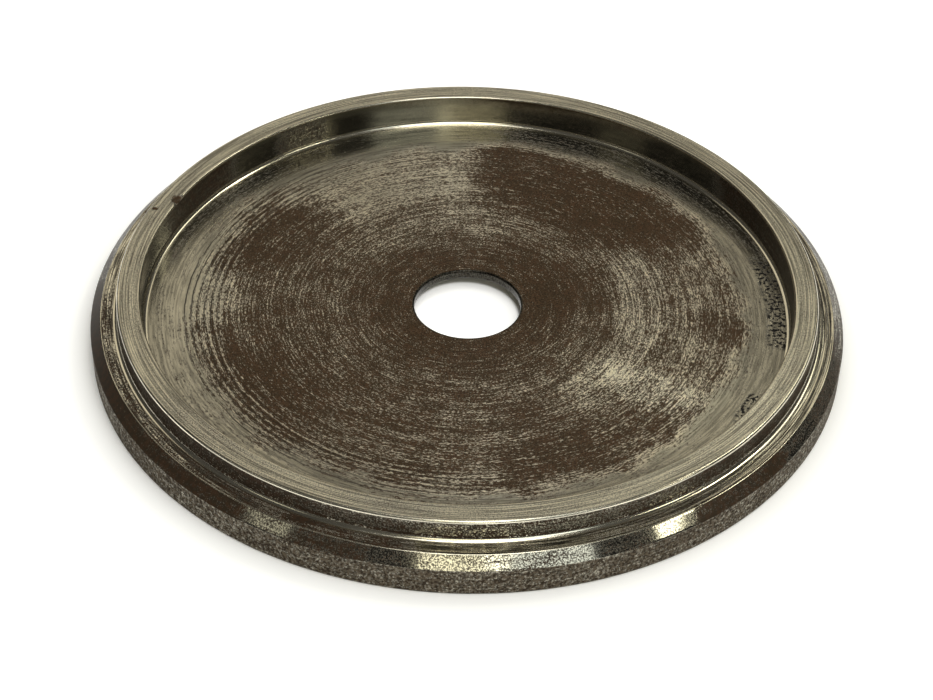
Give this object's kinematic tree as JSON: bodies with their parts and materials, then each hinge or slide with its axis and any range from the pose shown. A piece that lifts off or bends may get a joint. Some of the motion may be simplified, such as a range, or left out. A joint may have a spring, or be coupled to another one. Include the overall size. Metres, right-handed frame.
{
  "type": "wheel disc",
  "caption": "Round turned steel disc with a stepped, bevelled flange, a raised rim around a recessed floor, a plain centre bore and a relieved underside.",
  "frame": {"origin": "centre of the plane that the disc rests on, on the bore's axis", "axes": "+Z along the bore's axis, from the resting face towards the open side of the rim; X and Y are alike"},
  "size_m": [0.1778, 0.1778, 0.0146],
  "materials": {
    "turned_steel": "turned bare steel with a thin brown rust patina"
  },
  "bodies": {
    "root": {"wheel_disc": "turned_steel"}
  },
  "joints": []
}
